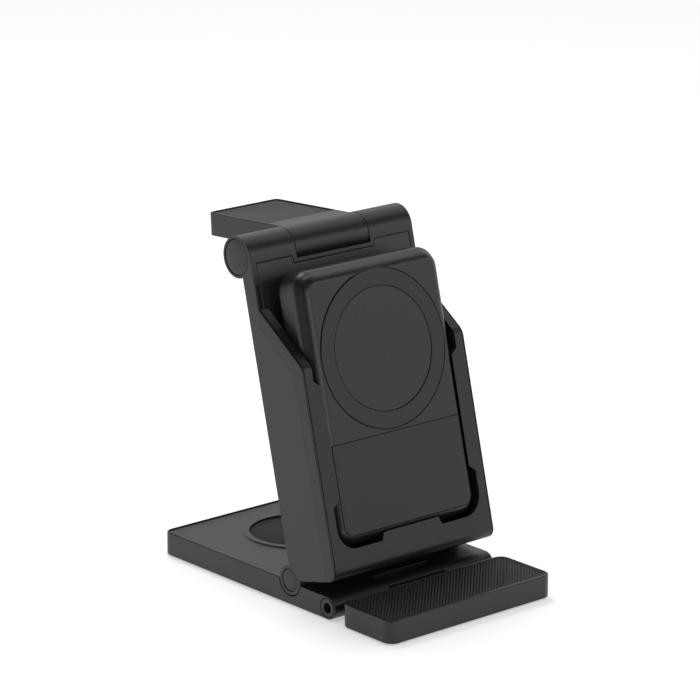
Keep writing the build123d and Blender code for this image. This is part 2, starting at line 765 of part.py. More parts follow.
with BuildPart() as arm_bezel:
    with BuildSketch(arm_side):
        add(bezel_outline.sketch)
    extrude(amount=half_width, both=True)
    fillet(
        arm_bezel.faces()
        .filter_by(lambda face: face.normal_at().dot(forward) > rim_round / shoulder_round)
        .edges()
        .filter_by(lambda edge: abs(edge.center().X) > half_width - fit_gap),
        rim_round,
    )
    with BuildSketch(arm_side):
        with BuildLine():
            Polyline(
                (liner_low, plate_front),
                (liner_low, liner_front),
                (liner_bend, liner_front),
                (liner_high, plate_front),
                close=True,
            )
        make_face()
    extrude(amount=plate_half, both=True)
    add(bank_pocket.part, mode=Mode.SUBTRACT)
    with BuildSketch(arm_level(plate_front)) as window:
        add(pocket_outline.sketch)
        with BuildLine():
            Polyline(
                (lip_half_width, lip_low),
                (lip_half_width, lip_high),
                (pocket_half, lip_high + lip_slant),
                (half_width, lip_high + lip_slant),
                (half_width, lip_low - lip_slant),
                (pocket_half, lip_low - lip_slant),
                close=True,
            )
        lip = make_face(mode=Mode.PRIVATE)
        add(lip, mode=Mode.SUBTRACT)
        add(mirror(lip, about=Plane.YZ, mode=Mode.PRIVATE), mode=Mode.SUBTRACT)
        with BuildLine():
            Polyline(
                (-tab_half_width - tab_spread, pocket_floor),
                (-tab_half_width, tab_high),
                (tab_half_width, tab_high),
                (tab_half_width + tab_spread, pocket_floor),
                close=True,
            )
        make_face(mode=Mode.SUBTRACT)
        tab_ends = window.vertices().filter_by_position(Axis.Y, tab_high - fit_gap, tab_high + fit_gap)
        fillet(tab_ends, tab_round)
    extrude(amount=rim_front, mode=Mode.SUBTRACT)
    for side in (-1, 1):
        with BuildSketch(arm_side.offset(side * (half_width - rim_width))):
            add(bezel_outline.sketch)
            with Locations((-groove_depth / 2, -groove_depth)):
                add(bezel_outline.sketch, mode=Mode.SUBTRACT)
        extrude(amount=-side * groove_width, mode=Mode.SUBTRACT)
finish(arm_bezel, "arm_bezel")

with BuildPart() as barrel_caps:
    for side in (-1, 1):
        with BuildSketch(arm_side.offset(side * half_width)):
            with Locations((top_axis_up, top_axis_depth)):
                Circle(barrel_cap_radius)
        extrude(amount=-side * barrel_cap_thick)
    for end in (0, -1):
        chamfer(barrel_caps.faces().sort_by(Axis.X)[end].edges(), seam_edge)
finish(barrel_caps, "barrel_caps")

with BuildPart() as hinge_caps:
    for side in (-1, 1):
        with BuildSketch(arm_side.offset(side * half_width)):
            Circle(boss_cap_radius)
        extrude(amount=-side * boss_cap_thick)
    for end in (0, -1):
        chamfer(hinge_caps.faces().sort_by(Axis.X)[end].edges(), seam_edge)
finish(hinge_caps, "hinge_caps")

with BuildPart() as wing_shaft:
    with BuildSketch(arm_side):
        with Locations((top_axis_up, top_axis_depth)):
            Circle(wing_shaft_radius)
    extrude(amount=half_width - barrel_cap_thick, both=True)
finish(wing_shaft, "wing_shaft")

with BuildPart() as arm_board:
    with BuildSketch(arm_level(arm_back + arm_wall)):
        with Locations((0, liner_low + arm_board_rise)):
            Rectangle(arm_board_width, arm_board_length, align=(Align.CENTER, Align.MIN))
    extrude(amount=board_thick)
finish(arm_board, "arm_board")

# Dock: a raised round pad that the back of the power bank lies against
with BuildPart() as dock_pad:
    with BuildSketch(arm_level(plate_front)):
        with Locations((0, ring_spot)):
            Circle(dock_radius)
    extrude(amount=dock_front - plate_front)
    fillet(dock_pad.faces().sort_by(Axis(hinge_axis, forward))[-1].edges(), dock_round)
    with BuildSketch(arm_level(plate_front)):
        with Locations((0, ring_spot)):
            Circle(dock_radius - dock_wall)
    extrude(amount=dock_front - dock_skin - plate_front, mode=Mode.SUBTRACT)
finish(dock_pad, "dock_pad")

with BuildPart() as dock_magnets:
    with BuildSketch(arm_level(dock_front - dock_skin)):
        with Locations((0, ring_spot)):
            Circle(magnet_outer)
            Circle(magnet_inner, mode=Mode.SUBTRACT)
    extrude(amount=-magnet_thick)
finish(dock_magnets, "dock_magnets")

with BuildPart() as dock_coil:
    with BuildSketch(arm_level(dock_front - dock_skin)):
        with Locations((0, ring_spot)):
            Circle(bank_coil_outer)
            Circle(bank_coil_inner, mode=Mode.SUBTRACT)
    extrude(amount=-coil_thick)
finish(dock_coil, "dock_coil")

with BuildPart() as dock_ferrite:
    with BuildSketch(arm_level(dock_front - dock_skin - coil_thick)):
        with Locations((0, ring_spot)):
            Circle(bank_coil_outer)
    extrude(amount=-ferrite_thick)
finish(dock_ferrite, "dock_ferrite")

with BuildPart() as dock_board:
    with BuildSketch(arm_level(plate_front)):
        with Locations((0, ring_spot)):
            Circle(dock_board_radius)
    extrude(amount=board_thick)
finish(dock_board, "dock_board")

# Wing that charges a watch
with BuildPart() as wing_shell:
    with BuildSketch(wing_level(-wing_below_axis)) as wing_slab:
        Rectangle(wing_width, wing_length, align=(Align.CENTER, Align.MIN))
        fillet(wing_slab.vertices().group_by(Axis.Y)[-1], wing_corner)
    extrude(amount=wing_above_axis + wing_below_axis)
    fillet(wing_shell.faces().sort_by(Axis(top_axis, wing_up))[0].edges(), wing_edge)
    fillet(wing_shell.faces().sort_by(Axis(top_axis, wing_up))[-1].edges().sort_by(Axis.Y)[1:], wing_edge)
    with BuildSketch(wing_side):
        Circle(barrel_radius)
    extrude(amount=wing_knuckle_half, both=True)
    with BuildSketch(wing_level(wing_lid_bottom)):
        add(wing_lid_outline.sketch)
    extrude(amount=wing_lid_thick + barrel_radius, mode=Mode.SUBTRACT)
    with BuildSketch(wing_level(wing_wall - wing_below_axis)):
        with Locations((0, barrel_radius + wing_lid_start + wing_wall)):
            Rectangle(
                wing_width - 2 * wing_wall,
                wing_length - 2 * wing_wall - barrel_radius - wing_lid_start,
                align=(Align.CENTER, Align.MIN),
            )
    extrude(amount=wing_above_axis + wing_below_axis - wing_wall, mode=Mode.SUBTRACT)
    with BuildSketch(wing_side):
        Circle(wing_shaft_radius + running_gap)
    extrude(amount=wing_knuckle_half, both=True, mode=Mode.SUBTRACT)
finish(wing_shell, "wing_shell")

dish_sphere_radius = (dish_radius**2 + dish_depth**2) / (2 * dish_depth)
with BuildPart() as wing_lid:
    with BuildSketch(wing_level(wing_lid_bottom)):
        add(wing_lid_outline.sketch)
        offset(amount=-fit_gap)
    extrude(amount=wing_lid_thick)
    chamfer(wing_lid.faces().sort_by(Axis(top_axis, wing_up))[-1].edges(), seam_edge)
    with Locations(wing_level(wing_above_axis - wing_lid_drop - dish_depth + dish_sphere_radius)):
        with Locations((0, dish_spot)):
            Sphere(dish_sphere_radius, mode=Mode.SUBTRACT)
finish(wing_lid, "wing_lid")

with BuildPart() as watch_coil:
    with BuildSketch(wing_level(wing_lid_bottom)):
        with Locations((0, dish_spot)):
            Circle(watch_coil_outer)
            Circle(watch_coil_inner, mode=Mode.SUBTRACT)
    extrude(amount=-watch_coil_thick)
finish(watch_coil, "watch_coil")

with BuildPart() as watch_magnet:
    with BuildSketch(wing_level(wing_lid_bottom)):
        with Locations((0, dish_spot)):
            Circle(watch_magnet_radius)
    extrude(amount=-watch_magnet_thick)
finish(watch_magnet, "watch_magnet")

with BuildPart() as watch_board:
    with BuildSketch(wing_level(wing_wall - wing_below_axis)):
        with Locations((0, dish_spot)):
            Rectangle(watch_board_width, watch_board_length)
    extrude(amount=watch_board_thick)
finish(watch_board, "watch_board")

# Shelf in front of the base
shelf_bottom = base_bottom
shelf_top = shelf_bottom + shelf_thick
pad_bottom = shelf_top - pad_below_rim - pad_thick
with BuildPart() as shelf_tray:
    with BuildSketch(base_level(shelf_bottom)):
        add(shelf_outline.sketch)
    extrude(amount=shelf_thick)
    fillet(shelf_tray.faces().filter_by(Axis.Z).edges(), shelf_edge)
    with BuildSketch(base_side.offset(tongue_shift)):
        with Locations((-nose_reach, nose_z)):
            Circle(nose_radius)
            Rectangle(
                shelf_gap + nose_radius + shelf_wall / 2,
                tongue_height,
                align=(Align.MAX, Align.CENTER),
            )
    extrude(amount=notch_width / 2 - side_gap, both=True)
    with BuildSketch(base_side):
        with Locations((-nose_reach, nose_z)):
            Circle(front_pin_radius + running_gap)
    extrude(amount=half_width, both=True, mode=Mode.SUBTRACT)
    with BuildSketch(base_level(pad_bottom)):
        add(shelf_outline.sketch)
        offset(amount=-shelf_border)
    extrude(amount=shelf_thick, mode=Mode.SUBTRACT)
    with BuildSketch(base_level(shelf_bottom)):
        add(shelf_outline.sketch)
        offset(amount=-shelf_wall)
    extrude(amount=pad_bottom - shelf_deck - shelf_bottom, mode=Mode.SUBTRACT)
finish(shelf_tray, "shelf_tray")

# The grooves between the ribs run aslant across the pad and stop short of its edge
rib_reach = shelf_depth / sin(radians(rib_angle))
rib_count = int((shelf_width + shelf_depth / tan(radians(rib_angle))) / rib_pitch)
with BuildSketch() as rib_field:
    add(shelf_outline.sketch)
    offset(amount=-shelf_border - rib_margin)

with BuildPart() as shelf_pad:
    with BuildSketch(base_level(pad_bottom)):
        add(shelf_outline.sketch)
        offset(amount=-shelf_border - fit_gap)
    extrude(amount=pad_thick)
    with BuildSketch(base_level(pad_bottom + pad_thick - rib_depth)):
        with Locations((0, -shelf_middle)):
            with GridLocations(rib_pitch, shelf_depth, rib_count, 1):
                Rectangle(rib_reach, rib_groove, rotation=rib_angle)
        add(rib_field.sketch, mode=Mode.INTERSECT)
    extrude(amount=rib_depth, mode=Mode.SUBTRACT)
finish(shelf_pad, "shelf_pad")

with BuildPart() as shelf_cover:
    with BuildSketch(base_level(shelf_bottom)):
        add(shelf_outline.sketch)
        offset(amount=-shelf_wall - fit_gap)
    extrude(amount=shelf_cover_thick)
    with BuildSketch(base_level(shelf_bottom)):
        with Locations((0, -shelf_middle)):
            RectangleRounded(
                shelf_foot_length + 2 * fit_gap,
                shelf_foot_width + 2 * fit_gap,
                shelf_foot_corner,
            )
    extrude(amount=shelf_foot_thick - sole_stand, mode=Mode.SUBTRACT)
finish(shelf_cover, "shelf_cover")

with BuildPart() as shelf_foot:
    with BuildSketch(base_level(0)):
        with Locations((0, -shelf_middle)):
            RectangleRounded(shelf_foot_length, shelf_foot_width, shelf_foot_corner)
    extrude(amount=shelf_foot_thick)
finish(shelf_foot, "shelf_foot")

# Power bank
with BuildPart() as bank_form:
    with BuildSketch(arm_level(bank_back)):
        add(bank_outline.sketch)
    extrude(amount=bank_shoulder - bank_back)
    with BuildSketch(arm_level(bank_shoulder)):
        add(bank_outline.sketch)
    extrude(amount=bank_slope_depth, taper=bank_slope)
    fillet(bank_form.faces().sort_by(Axis(hinge_axis, forward))[-1].edges(), bank_front_edge)
    shoulder = bank_form.edges().filter_by(
        lambda edge: abs((edge.center() - hinge_axis).dot(forward) - bank_shoulder) < fit_gap
    )
    fillet(shoulder, bank_shoulder_edge)
    fillet(bank_form.faces().sort_by(Axis(hinge_axis, forward))[0].edges(), bank_back_edge)

with BuildPart() as bank_case:
    add(bank_form.part)
    with BuildSketch(arm_level(bank_back)):
        add(bank_outline.sketch)
        offset(amount=-bank_wall)
    extrude(amount=bank_cover_thick, mode=Mode.SUBTRACT)
    with BuildSketch(arm_level(bank_back)):
        add(bank_outline.sketch)
        offset(amount=-bank_wall - bank_ledge)
    extrude(amount=bank_thick - bank_front_wall, mode=Mode.SUBTRACT)
    with BuildSketch(arm_level(bank_board_depth)):
        with Locations((0, bank_board_low + bank_board_length / 2)):
            with GridLocations(2 * bank_post_x, bank_thick, 2, 1):
                Circle(bank_post_radius)
    extrude(amount=bank_inside - bank_board_depth)
    with BuildSketch(arm_level(bank_front)):
        with Locations((0, ring_spot)):
            Circle(ring_outer + ring_gap)
            Circle(ring_inner - fit_gap, mode=Mode.SUBTRACT)
    extrude(amount=-ring_thick, mode=Mode.SUBTRACT)
    with BuildSketch(arm_level(bank_front)):
        add(panel_outline.sketch)
        offset(amount=panel_gap)
    extrude(amount=-panel_thick, mode=Mode.SUBTRACT)
    socket_mid = bank_board_depth - board_thick - socket_height / 2
    port = Plane(
        origin=hinge_axis + up_slope * bank_low + forward * socket_mid,
        x_dir=(1, 0, 0),
        z_dir=-up_slope,
    )
    with BuildSketch(port):
        SlotOverall(socket_width + 2 * fit_gap, socket_height + 2 * fit_gap)
    extrude(amount=-2 * (bank_wall + bank_ledge), mode=Mode.SUBTRACT)
finish(bank_case, "bank_case")

with BuildPart() as bank_cover:
    with BuildSketch(arm_level(bank_back)):
        add(bank_outline.sketch)
        offset(amount=-bank_wall - fit_gap)
    extrude(amount=bank_cover_thick)
finish(bank_cover, "bank_cover")

with BuildPart() as bank_ring:
    with BuildSketch(arm_level(bank_front - ring_thick)):
        with Locations((0, ring_spot)):
            Circle(ring_outer)
            Circle(ring_inner, mode=Mode.SUBTRACT)
    extrude(amount=ring_thick + ring_stand)
    chamfer(bank_ring.faces().sort_by(Axis(hinge_axis, forward))[-1].edges(), seam_edge)
finish(bank_ring, "bank_ring")

with BuildPart() as bank_panel:
    with BuildSketch(arm_level(bank_front)):
        add(panel_outline.sketch)
    extrude(amount=-panel_thick)
    add(bank_form.part, mode=Mode.INTERSECT)
finish(bank_panel, "bank_panel")

with BuildPart() as bank_magnets:
    with BuildSketch(arm_level(bank_inside)):
        with Locations((0, ring_spot)):
            Circle(magnet_outer)
            Circle(magnet_inner, mode=Mode.SUBTRACT)
    extrude(amount=-magnet_thick)
finish(bank_magnets, "bank_magnets")

with BuildPart() as bank_coil:
    with BuildSketch(arm_level(bank_inside)):
        with Locations((0, ring_spot)):
            Circle(bank_coil_outer)
            Circle(bank_coil_inner, mode=Mode.SUBTRACT)
    extrude(amount=-coil_thick)
finish(bank_coil, "bank_coil")

with BuildPart() as bank_ferrite:
    with BuildSketch(arm_level(bank_inside - coil_thick)):
        with Locations((0, ring_spot)):
            Circle(bank_coil_outer)
    extrude(amount=-ferrite_thick)
finish(bank_ferrite, "bank_ferrite")

with BuildPart() as bank_cell:
    with BuildSketch(arm_level(cell_front)) as cell_face:
        with Locations((0, cell_low)):
            Rectangle(cell_width, cell_high - cell_low, align=(Align.CENTER, Align.MIN))
        fillet(cell_face.vertices(), cell_corner)
    extrude(amount=-cell_thick)
finish(bank_cell, "bank_cell")

with BuildPart() as bank_rear_coil:
    with BuildSketch(arm_level(cell_front - cell_thick)):
        with Locations((0, ring_spot)):
            Circle(bank_coil_outer)
            Circle(bank_coil_inner, mode=Mode.SUBTRACT)
    extrude(amount=-rear_coil_thick)
finish(bank_rear_coil, "bank_rear_coil")

with BuildPart() as bank_board:
    with BuildSketch(arm_level(bank_board_depth)):
        with Locations((0, bank_board_low)):
            Rectangle(bank_board_width, bank_board_length, align=(Align.CENTER, Align.MIN))
    extrude(amount=-board_thick)
finish(bank_board, "bank_board")

with BuildPart() as bank_socket:
    with BuildSketch(port.offset(-socket_set)):
        SlotOverall(socket_width, socket_height)
    extrude(amount=-socket_depth)
    with BuildSketch(port.offset(-socket_set)):
        SlotOverall(socket_width - 2 * socket_skin, socket_height - 2 * socket_skin)
        Rectangle(socket_tongue_width, socket_tongue_thick, mode=Mode.SUBTRACT)
    extrude(amount=socket_tongue_back - socket_depth, mode=Mode.SUBTRACT)
finish(bank_socket, "bank_socket")
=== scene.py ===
from math import cos, pi, radians, sin, tan

import bmesh
import bpy
from bpy.props import FloatProperty, FloatVectorProperty, IntProperty, PointerProperty
from bpy.types import Operator, Panel, PropertyGroup
from mathutils import Matrix, Vector


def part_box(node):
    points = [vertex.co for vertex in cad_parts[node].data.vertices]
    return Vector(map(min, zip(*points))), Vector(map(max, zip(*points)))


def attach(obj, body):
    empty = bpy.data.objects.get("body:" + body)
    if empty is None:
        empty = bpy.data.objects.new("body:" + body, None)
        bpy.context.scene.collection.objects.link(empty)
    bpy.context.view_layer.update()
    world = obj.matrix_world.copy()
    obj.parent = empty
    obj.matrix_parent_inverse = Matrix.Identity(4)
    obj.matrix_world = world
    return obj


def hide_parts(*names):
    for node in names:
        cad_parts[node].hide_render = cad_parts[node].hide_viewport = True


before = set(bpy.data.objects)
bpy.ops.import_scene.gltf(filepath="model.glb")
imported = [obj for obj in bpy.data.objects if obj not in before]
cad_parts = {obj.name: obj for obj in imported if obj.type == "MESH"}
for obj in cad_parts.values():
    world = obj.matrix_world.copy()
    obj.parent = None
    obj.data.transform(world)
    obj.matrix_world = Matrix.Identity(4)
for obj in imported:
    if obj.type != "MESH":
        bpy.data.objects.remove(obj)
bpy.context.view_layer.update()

bl_info = {
    "name": "Folding wireless charger",
    "version": (1, 0, 0),
    "blender": (4, 5, 0),
    "location": "View3D > Sidebar > Charger",
    "description": "Finishes a folding stand that charges a phone, a watch and earbuds",
    "category": "Object",
}

# Points closer than this are one point.
touching = 1e-7
# Inset of a wall that stands practically upright.
wall_slant = 1e-6
# Faces that meet at less than this angle are shaded as one.
smooth_below = radians(38)
# Radius by which the shading breaks every edge of a moulded piece.
edge_break = 0.0003


class ChargerFinish(PropertyGroup):
    """Colours and surface grain of the charger."""

    shell_colour: FloatVectorProperty(
        name="Shell", description="Grained plastic of the shells",
        subtype="COLOR", size=3, min=0, max=1, default=(0.0108, 0.0108, 0.0106),
    )
    rim_colour: FloatVectorProperty(
        name="Rim", description="Plastic of the upright's front frame",
        subtype="COLOR", size=3, min=0, max=1, default=(0.01, 0.01, 0.0098),
    )
    bank_colour: FloatVectorProperty(
        name="Power bank", description="Grained plastic of the power bank",
        subtype="COLOR", size=3, min=0, max=1, default=(0.0108, 0.0108, 0.0106),
    )
    # Painted light: the plate's colour is lighter than the shells' to lift the shade that the power bank
    # casts on it.
    plate_colour_lifted_from_shade: FloatVectorProperty(
        name="Plate", description="Grained plastic of the plate behind the power bank",
        subtype="COLOR", size=3, min=0, max=1, default=(0.018, 0.018, 0.0176),
    )
    inlay_colour: FloatVectorProperty(
        name="Inlays", description="Smooth sheet of the ring and the lower panel",
        subtype="COLOR", size=3, min=0, max=1, default=(0.0098, 0.0098, 0.0096),
    )
    rubber_colour: FloatVectorProperty(
        name="Rubber", description="Ribbed pad, sole and foot",
        subtype="COLOR", size=3, min=0, max=1, default=(0.017, 0.017, 0.0166),
    )
    grain_size: FloatProperty(
        name="Grain size", description="Width of one grain of the moulded surface",
        unit="LENGTH", min=0.00005, default=0.0004, precision=5,
    )
    grain_depth: FloatProperty(
        name="Grain depth", description="Height of the moulded grain",
        unit="LENGTH", min=0, default=0.00008, precision=6,
    )


class ChargerDetail(PropertyGroup):
    """Sizes of the details that are modelled here."""

    rib_pitch: FloatProperty(
        name="Rib pitch", description="Distance between two ribs, along the shelf",
        unit="LENGTH", min=0.0005, default=0.00142, precision=5,
    )
    rib_width: FloatProperty(
        name="Rib width", description="Width of a rib",
        unit="LENGTH", min=0.0002, default=0.0007, precision=5,
    )
    rib_height: FloatProperty(
        name="Rib height", description="Height of a rib above the bed between the ribs",
        unit="LENGTH", min=0.0001, default=0.0003, precision=5,
    )
    rib_turn: FloatProperty(
        name="Rib turn", description="Angle between the ribs and the length of the shelf",
        subtype="ANGLE", default=radians(46.2),
    )
    rib_round: FloatProperty(
        name="Rib rounding", description="Rounding along the crest of a rib",
        unit="LENGTH", min=0, default=0.0001, precision=5,
    )
    pad_frame: FloatProperty(
        name="Pad frame", description="Width of the plain frame around the ribs",
        unit="LENGTH", min=0.0001, default=0.0008, precision=5,
    )
    pad_corner: FloatProperty(
        name="Pad corner", description="Corner radius of the shelf's pad",
        unit="LENGTH", min=0, default=0.00285, precision=5,
    )
    cap_crown: FloatProperty(
        name="Cap crown", description="Height of the crown of an end cap",
        unit="LENGTH", min=0, default=0.00012, precision=6,
    )
    seam_gap: FloatProperty(
        name="Seam gap", description="Extra gap around an end cap",
        unit="LENGTH", min=0, default=0.00015, precision=6,
    )
    cap_edge: FloatProperty(
        name="Cap edge", description="Rounding around an end cap",
        unit="LENGTH", min=0, default=0.0002, precision=6,
    )
    bush_hole: FloatProperty(
        name="Bush hole", description="Radius of the hole in a bush of the front hinge",
        unit="LENGTH", min=0, default=0.0018, precision=5,
    )
    bush_length: FloatProperty(
        name="Bush length", description="Length of a bush of the front hinge",
        unit="LENGTH", min=0, default=0.009, precision=5,
    )
    screw_head: FloatProperty(
        name="Screw head", description="Radius of the head of a screw under the base",
        unit="LENGTH", min=0.0005, default=0.0019, precision=5,
    )
    screw_head_height: FloatProperty(
        name="Screw head height", description="Height of the head of a screw under the base",
        unit="LENGTH", min=0.0003, default=0.0011, precision=5,
    )
    screw_shank: FloatProperty(
        name="Screw shank", description="Radius of the shank of a screw under the base",
        unit="LENGTH", min=0.0003, default=0.00095, precision=5,
    )
    screw_key: FloatProperty(
        name="Screw key", description="Radius of the six-sided hole in the head of a screw",
        unit="LENGTH", min=0.0002, default=0.00085, precision=5,
    )
    key_steps: IntProperty(
        name="Screw steps", description="Faces around a screw", min=12, max=96, default=36,
    )
    smooth_steps: IntProperty(
        name="Smooth steps", description="Faces around a full turn", min=24, max=256, default=128,
    )


class ChargerStudio(PropertyGroup):
    """Camera and light."""

    azimuth: FloatProperty(
        name="Azimuth", description="Camera's turn around the object",
        subtype="ANGLE", default=radians(-40.74),
    )
    elevation: FloatProperty(
        name="Elevation", description="Camera's angle above the level",
        subtype="ANGLE", default=radians(16.08),
    )
    distance: FloatProperty(
        name="Distance", description="Camera to the point it looks at", unit="LENGTH", default=1.2573,
    )
    aim: FloatVectorProperty(
        name="Aim", description="Point that the camera looks at",
        subtype="XYZ", unit="LENGTH", size=3, default=(-0.01023, -0.009625, 0.08793),
    )
    lens: FloatProperty(
        name="Lens", description="Focal length", unit="CAMERA", default=186.16,
    )
    floor_gap: FloatProperty(
        name="Floor gap", description="Floor below the feet",
        unit="LENGTH", min=0, default=0.0001, precision=5,
    )
    surround: FloatProperty(
        name="Surround", description="Light level of the room", min=0, default=0.55,
    )
    top_power: FloatProperty(
        name="Top light", description="Power of the soft light above",
        unit="POWER", min=0, default=3.0,
    )
    right_power: FloatProperty(
        name="Right light", description="Power of the soft light at the right",
        unit="POWER", min=0, default=0.4,
    )
    front_power: FloatProperty(
        name="Front light", description="Power of the soft light in front",
        unit="POWER", min=0, default=1.0,
    )
    left_power: FloatProperty(
        name="Left light", description="Power of the soft light at the left",
        unit="POWER", min=0, default=0.5,
    )


def link_nodes(material, shader_inputs):
    """Gives a material's shader its plain socket values and returns its tree, shader and coordinates."""
    material.use_nodes = True
    tree = material.node_tree
    shader = tree.nodes["Principled BSDF"]
    for socket, value in shader_inputs.items():
        shader.inputs[socket].default_value = value
    coordinates = tree.nodes.new("ShaderNodeTexCoord")
    return tree, shader, coordinates.outputs["Object"]


def add_noise(tree, coordinates, size, detail):
    """Adds a noise whose grains are about as wide as size and returns its value."""
    noise = tree.nodes.new("ShaderNodeTexNoise")
    noise.inputs["Scale"].default_value = 1 / size
    noise.inputs["Detail"].default_value = detail
    noise.inputs["Roughness"].default_value = 0.55
    tree.links.new(coordinates, noise.inputs["Vector"])
    return noise.outputs["Fac"]


def vary_colour(tree, shader, factor, colour, spread):
    """Lets the colour wander a little to both sides of the given one."""
    mix = tree.nodes.new("ShaderNodeMix")
    mix.data_type = "RGBA"
    mix.inputs["A"].default_value = (*[value * (1 - spread) for value in colour], 1)
    mix.inputs["B"].default_value = (*[value * (1 + spread) for value in colour], 1)
    tree.links.new(factor, mix.inputs["Factor"])
    tree.links.new(mix.outputs["Result"], shader.inputs["Base Color"])


def vary_roughness(tree, shader, factor, lowest, highest):
    """Lets the roughness follow a noise between two values."""
    span = tree.nodes.new("ShaderNodeMapRange")
    span.inputs["From Min"].default_value = 0.3
    span.inputs["From Max"].default_value = 0.7
    span.inputs["To Min"].default_value = lowest
    span.inputs["To Max"].default_value = highest
    tree.links.new(factor, span.inputs["Value"])
    tree.links.new(span.outputs["Result"], shader.inputs["Roughness"])


def add_bump(tree, shader, height, depth):
    """Raises the surface by a pattern of the given depth, over edges that are broken by a small radius."""
    soft_edge = tree.nodes.new("ShaderNodeBevel")
    soft_edge.samples = 6
    soft_edge.inputs["Radius"].default_value = edge_break
    bump = tree.nodes.new("ShaderNodeBump")
    bump.inputs["Strength"].default_value = 0.8
    bump.inputs["Distance"].default_value = depth
    tree.links.new(soft_edge.outputs["Normal"], bump.inputs["Normal"])
    tree.links.new(height, bump.inputs["Height"])
    tree.links.new(bump.outputs["Normal"], shader.inputs["Normal"])


def moulded_plastic(name, colour, grain, depth, roughness, gloss=0.46):
    """Moulded plastic with a fine grain in colour, roughness and bump."""
    material = bpy.data.materials.new(name)
    tree, shader, coordinates = link_nodes(material, {"IOR": 1.5, "Specular IOR Level": gloss})
    fine = add_noise(tree, coordinates, size=grain, detail=2)
    vary_colour(tree, shader, fine, colour, spread=0.9)
    vary_roughness(tree, shader, fine, *roughness)
    add_bump(tree, shader, fine, depth)
    return material


def shell_plastic(name, colour, finish):
    """The grained plastic that the shells share."""
    return moulded_plastic(name, colour, finish.grain_size, finish.grain_depth, roughness=(0.3, 0.38))


def ground_metal(name, colour, lowest, highest):
    """Ground or plated metal with fine marks along one direction."""
    material = bpy.data.materials.new(name)
    tree, shader, coordinates = link_nodes(material, {"Metallic": 1.0})
    stretch = tree.nodes.new("ShaderNodeMapping")
    stretch.inputs["Scale"].default_value = (0.1, 1, 1)
    tree.links.new(coordinates, stretch.inputs["Vector"])
    marks = add_noise(tree, stretch.outputs["Vector"], size=0.0002, detail=3)
    vary_colour(tree, shader, marks, colour, spread=0.1)
    vary_roughness(tree, shader, marks, lowest, highest)
    return material


def wound_copper(name, colour):
    """Lacquered copper wire laid in fine turns."""
    material = bpy.data.materials.new(name)
    tree, shader, coordinates = link_nodes(material, {"Metallic": 1.0, "Coat Weight": 0.3})
    turns = tree.nodes.new("ShaderNodeTexWave")
    turns.inputs["Scale"].default_value = 700
    turns.inputs["Distortion"].default_value = 0.4
    tree.links.new(coordinates, turns.inputs["Vector"])
    vary_colour(tree, shader, turns.outputs["Fac"], colour, spread=0.25)
    vary_roughness(tree, shader, turns.outputs["Fac"], lowest=0.25, highest=0.4)
    add_bump(tree, shader, turns.outputs["Fac"], depth=0.00005)
    return material


def circuit_board(name, colour):
    """Green circuit board with faint tracks under its lacquer."""
    material = bpy.data.materials.new(name)
    tree, shader, coordinates = link_nodes(material, {"Coat Weight": 0.2})
    tracks = tree.nodes.new("ShaderNodeTexBrick")
    tracks.inputs["Scale"].default_value = 120
    tracks.inputs["Color1"].default_value = (*[value * 0.8 for value in colour], 1)
    tracks.inputs["Color2"].default_value = (*colour, 1)
    tracks.inputs["Mortar"].default_value = (*[value * 1.4 for value in colour], 1)
    tracks.inputs["Mortar Size"].default_value = 0.02
    tree.links.new(coordinates, tracks.inputs["Vector"])
    tree.links.new(tracks.outputs["Color"], shader.inputs["Base Color"])
    blotches = add_noise(tree, coordinates, size=0.002, detail=2)
    vary_roughness(tree, shader, blotches, lowest=0.35, highest=0.5)
    return material


def dress(material, *names):
    """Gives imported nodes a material."""
    for name in names:
        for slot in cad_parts[name].material_slots:
            slot.material = material


def finish_piece(bm, name, body, slot, material, *stands_for):
    """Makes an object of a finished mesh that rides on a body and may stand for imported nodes."""
    mesh = bpy.data.meshes.new(name)
    bmesh.ops.remove_doubles(bm, verts=bm.verts, dist=touching)
    bmesh.ops.recalc_face_normals(bm, faces=bm.faces)
    bm.to_mesh(mesh)
    bm.free()
    mesh.polygons.foreach_set("use_smooth", [True] * len(mesh.polygons))
    mesh.set_sharp_from_angle(angle=smooth_below)
    mesh.materials.append(material)
    piece = bpy.data.objects.new(name, mesh)
    bpy.context.scene.collection.objects.link(piece)
    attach(piece, body)
    if stands_for:
        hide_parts(*stands_for)
    return piece


def spin_profile(bm, points, center, axis, steps):
    """Spins a profile of a few points around an axis into a closed round form."""
    corners = [bm.verts.new(point) for point in points]
    outline = [bm.edges.new(pair) for pair in zip(corners, corners[1:])]
    bmesh.ops.spin(
        bm, geom=corners + outline, cent=center, axis=axis, angle=2 * pi, steps=steps, use_merge=True,
    )


def crowned_cap(bm, center, outward, radius, thickness, detail):
    """A low end cap with a crowned face and a softly rounded edge, its outermost point at center."""
    across = Vector((0, 0, 1)) if abs(outward.z) < 0.5 else Vector((1, 0, 0))
    edge = detail.cap_edge
    crown = detail.cap_crown
    # The crown falls by a quarter at half the radius, and the rounding passes at three tenths of its own.
    points = [
        center,
        center + across * (radius * 0.5) - outward * (crown * 0.25),
        center + across * (radius - edge) - outward * crown,
        center + across * (radius - edge * 0.3) - outward * (crown + edge * 0.3),
        center + across * radius - outward * (crown + edge),
        center + across * radius - outward * thickness,
        center - outward * thickness,
    ]
    spin_profile(bm, points, center, outward, detail.smooth_steps)


